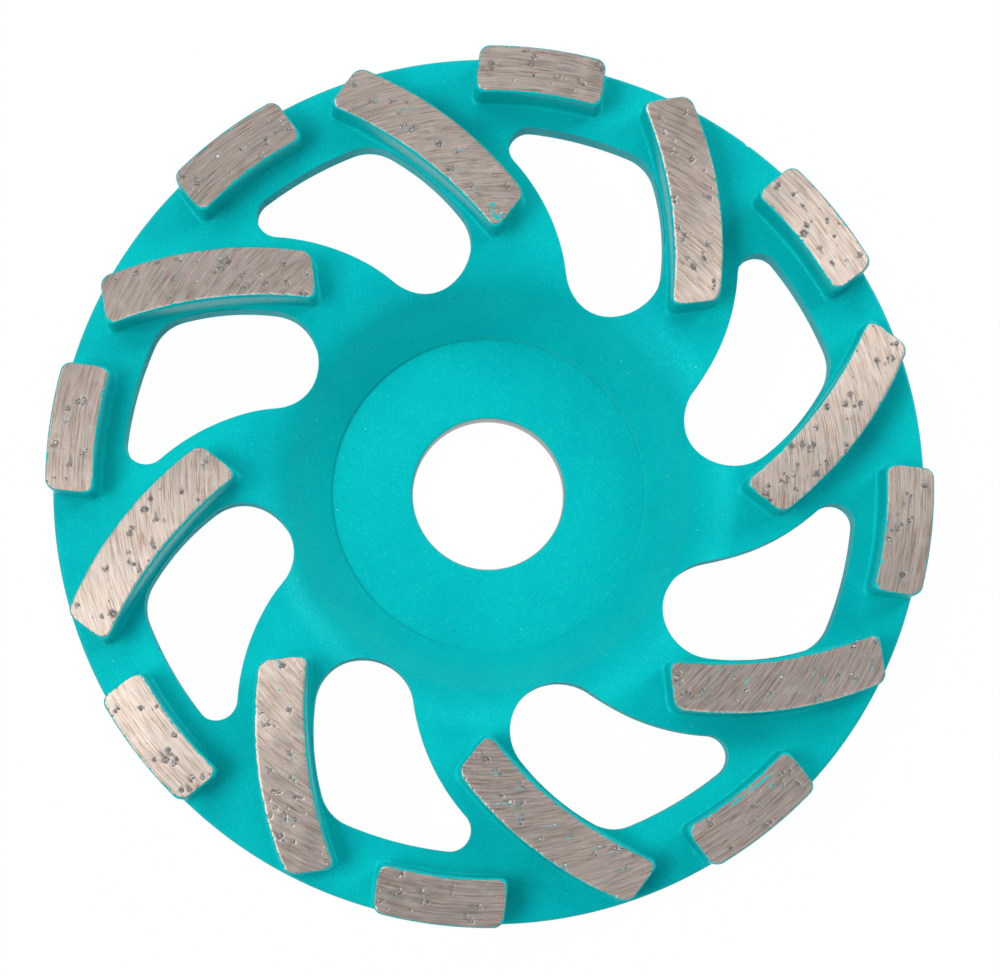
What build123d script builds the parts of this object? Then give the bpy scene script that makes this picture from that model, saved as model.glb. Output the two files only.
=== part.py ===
from build123d import *
from math import acos, atan2, cos, degrees, radians, sin, sqrt, tan
import os

# Diamond cup wheel of 125 mm for an angle grinder, in millimetres.
# It lies on the back of its hub, with the working face up. The wheel's axis is Z.
# The body is one dished steel disc: flat hub, conical wall, flat rim, eight windows.
# Eight long and eight short diamond segments are brazed to low pads on the rim.

# Steel disc
plate_thickness = 4.4
cup_depth = 11.9
rim_radius = 62.2
rim_edge_chamfer = 0.4
cone_foot_radius = 22.8
cone_width = 8.8
crown_bend_radius = 10.7
foot_bend_radius = 3.0

# Hub: a plain bore, and a seat turned into the floor of the cup for the flange nut
bore_radius = 11.115
bore_chamfer = 0.3
seat_depth = 0.2
seat_margin = 0.3

# Pattern round the wheel, as it lies: angles run anticlockwise from +X
pattern_count = 8
pitch_angle = 360 / pattern_count
long_angle = 9.35
short_angle = 38.1
window_angle = 23.3

# Long segments, each a bowed bar that swirls in from the rim. Its middle lies a set way inside the rim's edge
long_length = 30.0
long_width = 7.3
long_convex_radius = 53.7
long_concave_radius = 59.6
long_inset = 12.65
long_swirl_angle = 43.4

# Short segments, each a block along the rim that stands a little proud of it
short_length = 18.2
short_width = 6.9
short_overhang = 0.3

# What both kinds of segment share
segment_height = 6.2
segment_corner_radius = 1.3
pad_height = 0.3
pad_ledge = 0.45
pad_flank = 0.2

# Windows: each is a round lobe near the hub that tapers to a narrow tip near the rim
window_margin = 9.8
lobe_radius = 7.0
lobe_inset = 25.8
lobe_lag_angle = 7.7
tip_radius = 3.0
tip_lead_angle = 15.1
shoulder_radius = 6.3
shoulder_lag_angle = 0.95
window_bulge_radius = 34.8
window_hollow_radius = 30.7

# Nick in the edge of the rim
nick_angle = 53.1
nick_radius = 0.6
nick_depth = 0.25

# Sizes that follow from the ones above
cone_top_radius = cone_foot_radius + cone_width
cone_slope_angle = degrees(atan2(cup_depth, cone_width))
seat_radius = cone_foot_radius + seat_margin
seat_top = plate_thickness - seat_depth
seat_wall_top = plate_thickness + seat_margin * cup_depth / cone_width
rim_bottom = cup_depth
rim_top = cup_depth + plate_thickness
pad_top = rim_top + pad_height
long_middle_radius = rim_radius - long_inset
short_outer_radius = rim_radius + short_overhang
short_middle_radius = short_outer_radius - short_width / 2
short_inner_radius = short_outer_radius - short_width
window_outer_radius = rim_radius - window_margin
lobe_distance = rim_radius - lobe_inset
# The back of the disc is its front moved through the plate, square to it
back_shift = plate_thickness * tan(radians(cone_slope_angle / 2))


def on_circle(radius, angle):
    """Point at a radius and an angle from the wheel's axis."""
    return Vector(radius * cos(radians(angle)), radius * sin(radians(angle)))


def toward(centre, target, radius):
    """Point of a circle about a centre, on the side of the target."""
    return centre + (target - centre).normalized() * radius


def circles_meet(first, first_reach, second, second_reach, side):
    """Point at one reach from each of two centres, left (1) or right (-1) of the line between them."""
    line = second - first
    turn = acos((line.length**2 + first_reach**2 - second_reach**2) / (2 * line.length * first_reach))
    heading = degrees(atan2(line.Y, line.X) + side * turn)
    return first + on_circle(first_reach, heading)


def bar_outline(length, width, convex_radius, concave_radius):
    """Face of a bowed bar with straight ends. Its middle is at the origin and it bulges to +Y."""
    half_length = length / 2
    crown_y = width / 2
    hollow_y = -width / 2
    crown_end_y = crown_y - convex_radius + sqrt(convex_radius**2 - half_length**2)
    hollow_end_y = hollow_y - concave_radius + sqrt(concave_radius**2 - half_length**2)
    with BuildSketch() as outline:
        with BuildLine():
            crown = ThreePointArc((-half_length, crown_end_y), (0, crown_y), (half_length, crown_end_y))
            hollow = ThreePointArc((-half_length, hollow_end_y), (0, hollow_y), (half_length, hollow_end_y))
            Line(crown @ 0, hollow @ 0)
            Line(crown @ 1, hollow @ 1)
        make_face()
    return outline.sketch


def window_outline(middle_angle):
    """Face of one window at an angle round the wheel: six arcs that run smoothly into each other."""
    lobe = on_circle(lobe_distance, middle_angle - lobe_lag_angle)
    tip = on_circle(window_outer_radius - tip_radius, middle_angle + tip_lead_angle)
    shoulder = on_circle(window_outer_radius - shoulder_radius, middle_angle - shoulder_lag_angle)
    # The long side beside the next segment curves out, round a centre inside the window's side
    bulge = circles_meet(
        shoulder, window_bulge_radius - shoulder_radius, lobe, window_bulge_radius - lobe_radius, -1
    )
    # The other long side curves in, round a centre outside the window
    hollow = circles_meet(
        lobe, window_hollow_radius + lobe_radius, tip, window_hollow_radius + tip_radius, 1
    )
    axis = Vector(0, 0)
    tip_out = toward(axis, tip, window_outer_radius)
    shoulder_out = toward(axis, shoulder, window_outer_radius)
    shoulder_end = toward(bulge, shoulder, window_bulge_radius)
    lobe_start = toward(bulge, lobe, window_bulge_radius)
    lobe_end = toward(lobe, hollow, lobe_radius)
    tip_start = toward(tip, hollow, tip_radius)
    with BuildSketch() as outline:
        with BuildLine():
            ThreePointArc(tip_out, toward(axis, tip_out + shoulder_out, window_outer_radius), shoulder_out)
            ThreePointArc(
                shoulder_out, toward(shoulder, (shoulder_out + shoulder_end) / 2, shoulder_radius), shoulder_end
            )
            ThreePointArc(
                shoulder_end, toward(bulge, (shoulder_end + lobe_start) / 2, window_bulge_radius), lobe_start
            )
            ThreePointArc(lobe_start, toward(lobe, axis, lobe_radius), lobe_end)
            ThreePointArc(lobe_end, toward(hollow, (lobe_end + tip_start) / 2, window_hollow_radius), tip_start)
            ThreePointArc(tip_start, toward(tip, (tip_start + tip_out) / 2, tip_radius), tip_out)
        make_face()
    return outline.sketch


long_outline = bar_outline(long_length, long_width, long_convex_radius, long_concave_radius)
short_outline = bar_outline(short_length, short_width, short_outer_radius, short_inner_radius)

# The bars turn from the outward radius: a long one points inward, a short one bulges outward
long_turn_angle = long_swirl_angle - 180
short_turn_angle = -90

# Pads for the segments, a ledge wider than what they carry, rooted in the middle of the plate
pad_root = rim_top - plate_thickness / 2


def pads_under(outline, radius, angle, turn_angle):
    """Ring of pads under one kind of segment, with their top edges chamfered."""
    with BuildPart() as pads:
        with BuildSketch(Plane.XY.offset(pad_root)):
            with PolarLocations(radius, pattern_count, angle):
                add(outline, rotation=turn_angle)
            offset(amount=pad_ledge, kind=Kind.INTERSECTION)
            Circle(rim_radius, mode=Mode.INTERSECT)
        extrude(amount=pad_top - pad_root)
        chamfer(pads.faces().group_by(Axis.Z)[-1].edges(), pad_flank)
    return pads.part


long_pads = pads_under(long_outline, long_middle_radius, long_angle, long_turn_angle)
short_pads = pads_under(short_outline, short_middle_radius, short_angle, short_turn_angle)

# Steel body
with BuildPart() as cup_body:
    with BuildSketch(Plane.XZ) as section:
        with BuildLine():
            Polyline(
                (bore_radius, 0),
                (cone_foot_radius + back_shift, 0),
                (cone_top_radius + back_shift, rim_bottom),
                (rim_radius, rim_bottom),
                (rim_radius, rim_top),
                (cone_top_radius, rim_top),
                (seat_radius, seat_wall_top),
                (seat_radius, seat_top),
                (bore_radius, seat_top),
                close=True,
            )
        make_face()
        crown_bend = section.vertices().sort_by_distance((cone_top_radius, rim_top))[0]
        fillet(crown_bend, crown_bend_radius)
        crown_back = section.vertices().sort_by_distance((cone_top_radius + back_shift, rim_bottom))[0]
        fillet(crown_back, crown_bend_radius - plate_thickness)
        foot_back = section.vertices().sort_by_distance((cone_foot_radius + back_shift, 0))[0]
        fillet(foot_back, foot_bend_radius)
        chamfer(section.vertices().group_by(Axis.X)[-1], rim_edge_chamfer)
        chamfer(section.vertices().group_by(Axis.X)[0], bore_chamfer)
    revolve(axis=Axis.Z)
    add(long_pads)
    add(short_pads)

    # Windows go straight through the cone and the rim, along the wheel's axis
    with BuildSketch():
        for number in range(pattern_count):
            add(window_outline(window_angle + number * pitch_angle))
    extrude(amount=pad_top, mode=Mode.SUBTRACT)

    # The nick is the mark of a knock, across the rim's edge
    nick_centre = on_circle(rim_radius + nick_radius - nick_depth, nick_angle)
    with BuildSketch(Plane.XY.offset(pad_root)):
        with Locations((nick_centre.X, nick_centre.Y)):
            Circle(nick_radius)
    extrude(amount=plate_thickness, mode=Mode.SUBTRACT)
cup_body.part.label = "cup_body"

os.makedirs("parts", exist_ok=True)
export_step(cup_body.part, "parts/cup_body.step")

# Diamond segments, numbered anticlockwise as seen from the working side
for number in range(pattern_count):
    with BuildPart() as long_segment:
        with BuildSketch(Plane.XY.offset(pad_top)) as long_face:
            with PolarLocations(long_middle_radius, 1, long_angle + number * pitch_angle):
                add(long_outline, rotation=long_turn_angle)
            fillet(long_face.vertices(), segment_corner_radius)
        extrude(amount=segment_height)
    long_segment.part.label = f"long_segment_{number + 1}"
    export_step(long_segment.part, f"parts/{long_segment.part.label}.step")

    with BuildPart() as short_segment:
        with BuildSketch(Plane.XY.offset(pad_top)) as short_face:
            with PolarLocations(short_middle_radius, 1, short_angle + number * pitch_angle):
                add(short_outline, rotation=short_turn_angle)
            fillet(short_face.vertices(), segment_corner_radius)
        extrude(amount=segment_height)
    short_segment.part.label = f"short_segment_{number + 1}"
    export_step(short_segment.part, f"parts/{short_segment.part.label}.step")
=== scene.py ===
"""Diamond cup wheel of 125 mm: painted steel cup, bronze-bonded segments, pale studio.

The wheel lies on the back of its hub with the working face up, and its axis is Z.
Sizes are in millimetres, and the meshes are made in metres.
"""
import logging
import math
from dataclasses import dataclass, field
from enum import Enum, IntEnum
from typing import Any, Sequence

import bmesh
import bpy
import numpy as np
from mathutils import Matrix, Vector
from mathutils.bvhtree import BVHTree


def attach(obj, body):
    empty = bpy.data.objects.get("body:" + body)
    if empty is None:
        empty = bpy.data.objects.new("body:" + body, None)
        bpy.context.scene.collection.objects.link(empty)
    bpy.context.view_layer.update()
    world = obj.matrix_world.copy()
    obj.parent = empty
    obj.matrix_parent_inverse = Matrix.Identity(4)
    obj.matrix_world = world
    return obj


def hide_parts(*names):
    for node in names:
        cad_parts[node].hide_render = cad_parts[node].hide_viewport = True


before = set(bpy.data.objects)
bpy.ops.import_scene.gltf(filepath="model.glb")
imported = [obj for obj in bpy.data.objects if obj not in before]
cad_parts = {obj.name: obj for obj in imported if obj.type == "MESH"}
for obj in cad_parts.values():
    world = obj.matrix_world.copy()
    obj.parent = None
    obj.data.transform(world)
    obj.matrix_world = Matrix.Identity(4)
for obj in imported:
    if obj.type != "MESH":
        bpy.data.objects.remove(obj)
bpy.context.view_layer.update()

MM = 0.001
ROOT_BODY = "root"
PATTERN_COUNT = 8
PITCH_ANGLE = 360.0 / PATTERN_COUNT
SHARP_ANGLE = math.radians(50.0)
NOISE_CELLS = 64
log = logging.getLogger("cup_wheel")


class Slot(Enum):
    """Material slots of the record."""

    STEEL = "steel_body"
    BOND = "diamond_bond"


class Mark(Enum):
    """Attributes that the meshes carry for their finishes, with painted glints and a painted highlight among
    them.
    """

    PIT = "pit"
    TAIL = "tail"
    RESIDUE = "residue"
    RUST = "rust"
    PAINT_WEAR_AND_HIGHLIGHT = "paint_wear_and_highlight"
    PAINTED_GLINT = "shine"


class CupFinish(IntEnum):
    """Places of the body's finishes in its mesh."""

    COAT = 0
    BORE = 1
    INSIDE_WINDOW = 2


class SegmentFinish(IntEnum):
    """Places of a segment's finishes in its mesh."""

    BOND = 0
    PAINT = 1
    GRIT = 2


# Shader building


class Term:
    """A shader value that takes part in Python sums."""

    def __init__(self, recipe: "Recipe", socket: bpy.types.NodeSocket) -> None:
        """Wrap an output socket.

        Args:
            recipe: The recipe that owns the socket's node.
            socket: The output socket.
        """
        self.recipe = recipe
        self.socket = socket

    def __add__(self, other: Any) -> "Term":
        """Add a term or a number."""
        return self.recipe.maths("ADD", self, other)

    def __radd__(self, other: Any) -> "Term":
        """Add to a number."""
        return self.recipe.maths("ADD", other, self)

    def __sub__(self, other: Any) -> "Term":
        """Take away a term or a number."""
        return self.recipe.maths("SUBTRACT", self, other)

    def __rsub__(self, other: Any) -> "Term":
        """Take away from a number."""
        return self.recipe.maths("SUBTRACT", other, self)

    def __mul__(self, other: Any) -> "Term":
        """Multiply by a term or a number."""
        return self.recipe.maths("MULTIPLY", self, other)

    def __rmul__(self, other: Any) -> "Term":
        """Multiply a number."""
        return self.recipe.maths("MULTIPLY", other, self)

    def __truediv__(self, other: Any) -> "Term":
        """Divide by a term or a number."""
        return self.recipe.maths("DIVIDE", self, other)

    def __pow__(self, other: Any) -> "Term":
        """Raise to a power."""
        return self.recipe.maths("POWER", self, other)


class Recipe:
    """A material's node tree, written as sums of terms."""

    def __init__(self, name: str) -> None:
        """Start an empty material.

        Args:
            name: The material's name.
        """
        self.material = bpy.data.materials.new(name)
        self.material.use_nodes = True
        self.tree = self.material.node_tree
        self.tree.nodes.clear()

    def node(
        self,
        kind: str,
        settings: dict[str, Any] | None = None,
        inputs: dict[str | int, Any] | None = None,
        output: int | str = 0,
    ) -> Term:
        """Add one node.

        Args:
            kind: The node's type.
            settings: The node's own settings, which are set first.
            inputs: Values or terms by socket name or number.
            output: Which output socket to return.

        Returns:
            The chosen output as a term.
        """
        made = self.tree.nodes.new(kind)
        for key, value in (settings or {}).items():
            setattr(made, key, value)
        for key, value in (inputs or {}).items():
            if isinstance(value, Term):
                self.tree.links.new(value.socket, made.inputs[key])
            else:
                made.inputs[key].default_value = value
        return Term(self, made.outputs[output]) if len(made.outputs) else Term(self, None)

    def maths(self, operation: str, first: Any, second: Any = 0.0, third: Any = 0.0) -> Term:
        """Work out one sum of numbers.

        Args:
            operation: The Math node's operation.
            first: A term or a number.
            second: A term or a number.
            third: A term or a number.

        Returns:
            The result.
        """
        return self.node("ShaderNodeMath", {"operation": operation}, {0: first, 1: second, 2: third})

    def ramp(self, value: Any, low: float, high: float, start: float = 0.0, end: float = 1.0) -> Term:
        """Carry a value smoothly from one range to another, held at both ends.

        Args:
            value: The term to carry over.
            low: The value that gives start.
            high: The value that gives end.
            start: Result at low.
            end: Result at high.

        Returns:
            The carried value.
        """
        return self.node(
            "ShaderNodeMapRange",
            {"interpolation_type": "SMOOTHSTEP"},
            {0: value, 1: low, 2: high, 3: start, 4: end},
        )

    def place(self) -> Term:
        """Give the point's place on the wheel, in metres."""
        return self.node("ShaderNodeTexCoord", output="Object")

    def split(self, vector: Term) -> tuple[Term, Term, Term]:
        """Split a vector into its three parts.

        Args:
            vector: The vector term.

        Returns:
            The X, Y and Z parts.
        """
        made = self.node("ShaderNodeSeparateXYZ", inputs={0: vector})
        sockets = made.socket.node.outputs
        return Term(self, sockets[0]), Term(self, sockets[1]), Term(self, sockets[2])

    def join(self, x: Any, y: Any, z: Any) -> Term:
        """Make a vector of three parts.

        Args:
            x: First part.
            y: Second part.
            z: Third part.

        Returns:
            The vector.
        """
        return self.node("ShaderNodeCombineXYZ", inputs={0: x, 1: y, 2: z})

    def noise(self, vector: Term, scale: float, detail: float = 2.0, roughness: float = 0.5) -> Term:
        """Give soft noise between 0 and 1.

        Args:
            vector: Where the noise is read.
            scale: Cells per unit.
            detail: Octaves.
            roughness: Share of the finer octaves.

        Returns:
            The noise value.
        """
        return self.node(
            "ShaderNodeTexNoise",
            {"noise_dimensions": "3D"},
            {"Vector": vector, "Scale": scale, "Detail": detail, "Roughness": roughness},
        )

    def cells(self, vector: Term, scale: float) -> Term:
        """Give the distance to the nearest of scattered points.

        Args:
            vector: Where the distance is read.
            scale: Points per unit.

        Returns:
            The distance in cells.
        """
        return self.node(
            "ShaderNodeTexVoronoi", {"feature": "F1"}, {"Vector": vector, "Scale": scale}, "Distance"
        )

    def mark(self, mark: Mark) -> Term:
        """Read one of the mesh's own attributes.

        Args:
            mark: Which attribute.

        Returns:
            Its value.
        """
        return self.node("ShaderNodeAttribute", {"attribute_name": mark.value}, output="Fac")

    def mix(self, first: Any, second: Any, share: Any) -> Term:
        """Mix two colours.

        Args:
            first: Colour at share 0.
            second: Colour at share 1.
            share: How much of the second.

        Returns:
            The mixed colour.
        """
        return self.node(
            "ShaderNodeMix",
            {"data_type": "RGBA", "clamp_factor": True},
            {0: share, 6: rgba(first), 7: rgba(second)},
            2,
        )

    def bump(self, height: Term, strength: float, depth_mm: float, normal: Term | None = None) -> Term:
        """Turn a height into a normal.

        Args:
            height: Height between 0 and 1.
            strength: Share of the effect.
            depth_mm: What a height of 1 stands for, in millimetres.
            normal: The normal of a coarser bump below this one.

        Returns:
            The bent normal.
        """
        inputs: dict[str | int, Any] = {"Strength": strength, "Distance": depth_mm * MM, "Height": height}
        if normal is not None:
            inputs["Normal"] = normal
        return self.node("ShaderNodeBump", inputs=inputs)

    def finish(self, **sockets: Any) -> bpy.types.Material:
        """End the tree in one shader.

        Args:
            **sockets: Shader socket names, with _ for a space, and their values.

        Returns:
            The material.
        """
        inputs = {name.replace("_", " "): value for name, value in sockets.items()}
        surface = self.node("ShaderNodeBsdfPrincipled", inputs=inputs)
        self.node("ShaderNodeOutputMaterial", inputs={"Surface": surface})
        return self.material


def rgba(colour: Any) -> Any:
    """Give a colour its fourth number, and leave a term alone."""
    return colour if isinstance(colour, Term) else (*colour, 1.0)


# Finishes


@dataclass(frozen=True)
class TurquoisePaint:
    """Powder coat on the steel and on the sides of the segments. Its scales are in cells for each metre."""

    name: str = "turquoise_powder_coat"
    colour: tuple[float, float, float] = (0.0005, 0.462, 0.449)
    shade: tuple[float, float, float] = (0.0, 0.418, 0.428)
    pale_wear_and_highlight: tuple[float, float, float] = (0.10, 0.66, 0.64)
    dark_speck: tuple[float, float, float] = (0.01, 0.10, 0.11)
    pale_speck: tuple[float, float, float] = (0.35, 0.62, 0.58)
    pale_grain: tuple[float, float, float] = (0.012, 0.53, 0.50)
    gloss_tint: tuple[float, float, float] = (0.03, 0.95, 0.95)
    patch_scale: float = 110.0
    grain_scale: float = 3200.0
    peel_scale: float = 1500.0
    dark_speck_scale: float = 250.0
    pale_speck_scale: float = 290.0
    wear_scale: float = 700.0
    wear_spread: float = 0.12
    roughness: float = 0.42
    gloss: float = 0.5

    def make(self) -> bpy.types.Material:
        """Build the material.

        Returns:
            The material.
        """
        recipe = Recipe(self.name)
        place = recipe.place()
        patches = recipe.noise(place, self.patch_scale, 3.0, 0.6)
        grain = recipe.noise(place, self.grain_scale, 2.0, 0.6)
        peel = recipe.noise(place, self.peel_scale, 2.0, 0.6)
        tone = recipe.mix(self.shade, self.colour, recipe.ramp(patches, 0.3, 0.62))
        tone = recipe.mix(tone, self.shade, recipe.ramp(grain, 0.5, 0.7, 0.0, 0.8))
        tone = recipe.mix(tone, self.pale_grain, recipe.ramp(grain, 0.46, 0.3, 0.0, 0.7))
        specks = ((self.dark_speck, self.dark_speck_scale), (self.pale_speck, self.pale_speck_scale))
        for speck, scale in specks:
            spots = recipe.cells(place, scale)
            tone = recipe.mix(tone, speck, recipe.ramp(spots, 0.035, 0.018, 0.0, 0.85))
        # Pale colour where the coat is worn pale on the window walls, and the painted highlight along the
        # seat's edge.
        paint_wear_and_highlight = recipe.mark(Mark.PAINT_WEAR_AND_HIGHLIGHT)
        ragged = paint_wear_and_highlight + (recipe.noise(place, self.wear_scale, 3.0, 0.65) - 0.5) * self.wear_spread
        tone = recipe.mix(tone, self.pale_wear_and_highlight, recipe.ramp(ragged, 0.88, 0.99, 0.0, 0.8))
        normal = recipe.bump(peel, 0.45, 0.012)
        normal = recipe.bump(grain, 0.5, 0.006, normal)
        return recipe.finish(
            Base_Color=tone,
            Roughness=recipe.ramp(grain, 0.3, 0.7, self.roughness - 0.06, self.roughness + 0.08),
            Specular_Tint=rgba(self.gloss_tint),
            Specular_IOR_Level=self.gloss,
            Normal=normal,
        )


@dataclass(frozen=True)
class BareSteel:
    """Machined steel inside the bore. Its scales are in cells for each metre."""

    name: str = "bare_bore_steel"
    colour: tuple[float, float, float] = (0.42, 0.43, 0.43)
    dull: tuple[float, float, float] = (0.22, 0.22, 0.21)
    scale_round: float = 60.0
    scale_up: float = 5200.0
    metal: float = 0.8
    roughness: float = 0.42

    def make(self) -> bpy.types.Material:
        """Build the material.

        Returns:
            The material.
        """
        recipe = Recipe(self.name)
        x, y, z = recipe.split(recipe.place())
        lathe = recipe.join(x * self.scale_round, y * self.scale_round, z * self.scale_up)
        turning = recipe.noise(lathe, 1.0, 2.0, 0.6)
        tone = recipe.mix(self.dull, self.colour, recipe.ramp(turning, 0.3, 0.7))
        return recipe.finish(
            Base_Color=tone,
            Metallic=self.metal,
            Roughness=self.roughness,
            Normal=recipe.bump(turning, 0.4, 0.01),
        )


@dataclass(frozen=True)
class BronzeBond:
    """Bronze bond of a segment, ground in circles round the wheel's axis.

    Its scales are in cells for each metre.
    """

    name: str = "ground_bronze_bond"
    tan: tuple[float, float, float] = (0.58, 0.478, 0.402)
    pale: tuple[float, float, float] = (0.76, 0.665, 0.58)
    brown: tuple[float, float, float] = (0.31, 0.225, 0.168)
    olive: tuple[float, float, float] = (0.365, 0.385, 0.33)
    pit: tuple[float, float, float] = (0.068, 0.058, 0.052)
    tail: tuple[float, float, float] = (0.50, 0.51, 0.465)
    rust: tuple[float, float, float] = (0.25, 0.13, 0.07)
    residue: tuple[float, float, float] = (0.005, 0.42, 0.42)
    fleck: tuple[float, float, float] = (0.60, 0.59, 0.57)
    streak_mm: tuple[float, float] = (0.18, 3.6)
    band_mm: tuple[float, float] = (0.52, 8.0)
    stain_mm: tuple[float, float] = (0.52 * 1.4, 5.0)
    track_radius_mm: float = 52.0
    patch_scale: float = 380.0
    speckle_scale: float = 4200.0
    fleck_scale: float = 420.0
    metal: float = 0.88
    roughness: float = 0.52
    grain: float = 0.84

    def make(self) -> bpy.types.Material:
        """Build the material.

        Returns:
            The material.
        """
        recipe = Recipe(self.name)
        place = recipe.place()
        x, y, _ = recipe.split(place)
        radius = (x * x + y * y) ** 0.5
        east = x / radius
        north = y / radius
        fine = self._along_track(recipe, radius, east, north, *self.streak_mm)
        band = self._along_track(recipe, radius, east, north, *self.band_mm)
        stain = self._along_track(recipe, radius + 7.0, east, north, *self.stain_mm)
        patches = recipe.noise(place, self.patch_scale, 3.0, 0.6)
        speckle = recipe.noise(place, self.speckle_scale, 2.0, 0.6)
        tone = recipe.mix(self.brown, self.tan, recipe.ramp(fine, 0.3, 0.52, 0.1, 1.0))
        tone = recipe.mix(tone, self.pale, recipe.ramp(fine, 0.54, 0.72, 0.0, 0.7))
        tone = recipe.mix(tone, self.brown, recipe.ramp(band, 0.52, 0.68, 0.0, 0.5))
        tone = recipe.mix(tone, self.olive, recipe.ramp(stain, 0.5, 0.7, 0.0, 0.45))
        tone = recipe.mix(tone, self.pale, recipe.ramp(patches, 0.55, 0.75, 0.0, 0.3))
        tone = recipe.mix(tone, self.brown, recipe.ramp(speckle, 0.62, 0.8, 0.0, 0.4))
        tone = recipe.mix(tone, self.tail, recipe.mark(Mark.TAIL) * recipe.ramp(fine, 0.25, 0.5, 0.45, 0.95))
        tone = recipe.mix(tone, self.rust, recipe.mark(Mark.RUST))
        flecks = recipe.cells(place, self.fleck_scale)
        tone = recipe.mix(tone, self.fleck, recipe.ramp(flecks, 0.05, 0.025, 0.0, 0.85))
        # Dark pits and hollows: painted shade in the recesses, with the painted shadows beside some tails.
        tone = recipe.mix(tone, self.pit, recipe.mark(Mark.PIT))
        tone = recipe.mix(tone, self.residue, recipe.mark(Mark.RESIDUE))
        matt = recipe.maths("MAXIMUM", recipe.mark(Mark.PIT), recipe.mark(Mark.RESIDUE))
        normal = recipe.bump(band, 0.2, 0.015)
        normal = recipe.bump(fine, 0.35, 0.01, normal)
        normal = recipe.bump(speckle, 0.25, 0.008, normal)
        return recipe.finish(
            Base_Color=tone,
            Metallic=recipe.ramp(matt, 0.1, 0.7, self.metal, 0.0),
            Roughness=recipe.ramp(matt, 0.0, 0.6, self.roughness, 0.8),
            Anisotropic=self.grain,
            Anisotropic_Rotation=0.25,
            Normal=normal,
        )

    def _along_track(
        self, recipe: Recipe, radius: Term, east: Term, north: Term, width_mm: float, length_mm: float
    ) -> Term:
        """Noise drawn out along the circles that the grinding leaves.

        Args:
            recipe: The recipe being written.
            radius: Distance from the axis in metres.
            east: X part of the direction from the axis.
            north: Y part of that direction.
            width_mm: Width of a streak.
            length_mm: Length of a streak.

        Returns:
            The noise value.
        """
        turns = self.track_radius_mm / length_mm
        vector = recipe.join(radius * (1.0 / (width_mm * MM)), east * turns, north * turns)
        return recipe.noise(vector, 1.0, 3.0, 0.6)


@dataclass(frozen=True)
class DiamondGrit:
    """Grey diamond crystals held in the bond, with painted facet shade and painted glints."""

    name: str = "diamond_grit"
    colour: tuple[float, float, float] = (0.30, 0.31, 0.29)
    dull: tuple[float, float, float] = (0.07, 0.072, 0.07)
    # Colour of the painted glints on the glinting crystals.
    bright: tuple[float, float, float] = (0.66, 0.68, 0.68)
    cloud_scale: float = 4800.0
    roughness: float = 0.3
    gloss: float = 0.7

    def make(self) -> bpy.types.Material:
        """Build the material.

        Returns:
            The material.
        """
        recipe = Recipe(self.name)
        place = recipe.place()
        # Dark and light patches stand in for shaded and lit facets; the glinting crystals get painted glints
        # on the light ones.
        cloud = recipe.noise(place, self.cloud_scale, 1.0, 0.5)
        tone = recipe.mix(self.dull, self.colour, recipe.ramp(cloud, 0.42, 0.56))
        painted_glint_share = recipe.mark(Mark.PAINTED_GLINT) * recipe.ramp(cloud, 0.48, 0.58)
        tone = recipe.mix(tone, self.bright, painted_glint_share)
        return recipe.finish(Base_Color=tone, Roughness=self.roughness, Specular_IOR_Level=self.gloss)


@dataclass(frozen=True)
class StudioFloor:
    """Pale floor that the camera sees as near white, with the wheel's faint shadow on it."""

    name: str = "studio_floor"
    colour: tuple[float, float, float] = (0.86, 0.86, 0.86)
    whiteness: float = 0.98

    def make(self) -> bpy.types.Material:
        """Build the material.

        Returns:
            The material.
        """
        recipe = Recipe(self.name)
        path = recipe.node("ShaderNodeLightPath", output="Is Camera Ray").socket.node.outputs
        seen = Term(recipe, path["Is Camera Ray"])
        for kind in ("Is Glossy Ray", "Is Transmission Ray"):
            seen = recipe.maths("MAXIMUM", seen, Term(recipe, path[kind]))
        matt = recipe.node("ShaderNodeBsdfDiffuse", inputs={"Color": rgba(self.colour)})
        white = recipe.node("ShaderNodeEmission", inputs={"Color": rgba((1.0, 1.0, 1.0)), "Strength": 1.0})
        mixed = recipe.node("ShaderNodeMixShader", inputs={0: seen * self.whiteness, 1: matt, 2: white})
        recipe.node("ShaderNodeOutputMaterial", inputs={"Surface": mixed})
        return recipe.material


# Shapes


def soft_noise(x: np.ndarray, y: np.ndarray, seed: int) -> np.ndarray:
    """Give smooth noise between 0 and 1 at points of a plane.

    Args:
        x: First coordinates, in cells.
        y: Second coordinates, in cells.
        seed: Which pattern.

    Returns:
        One value per point.
    """
    table = np.random.default_rng(seed).random((NOISE_CELLS, NOISE_CELLS))
    column, row = np.floor(x).astype(int), np.floor(y).astype(int)
    across, up = x - column, y - row
    across, up = across * across * (3 - 2 * across), up * up * (3 - 2 * up)
    left, right = column % NOISE_CELLS, (column + 1) % NOISE_CELLS
    below, above = row % NOISE_CELLS, (row + 1) % NOISE_CELLS
    low = table[left, below] * (1 - across) + table[right, below] * across
    high = table[left, above] * (1 - across) + table[right, above] * across
    return low * (1 - up) + high * up


def smooth_step(value: np.ndarray, low: float, high: float) -> np.ndarray:
    """Rise smoothly from 0 at low to 1 at high.

    Args:
        value: Values to carry over.
        low: Where the result is 0.
        high: Where the result is 1.

    Returns:
        The carried values.
    """
    share = np.clip((value - low) / (high - low), 0.0, 1.0)
    return share * share * (3 - 2 * share)


def new_object(name: str, mesh: bpy.types.Mesh) -> bpy.types.Object:
    """Put a mesh in the scene.

    Args:
        name: The object's name.
        mesh: Its mesh.

    Returns:
        The object, at the origin.
    """
    made = bpy.data.objects.new(name, mesh)
    bpy.context.scene.collection.objects.link(made)
    return made


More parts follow.
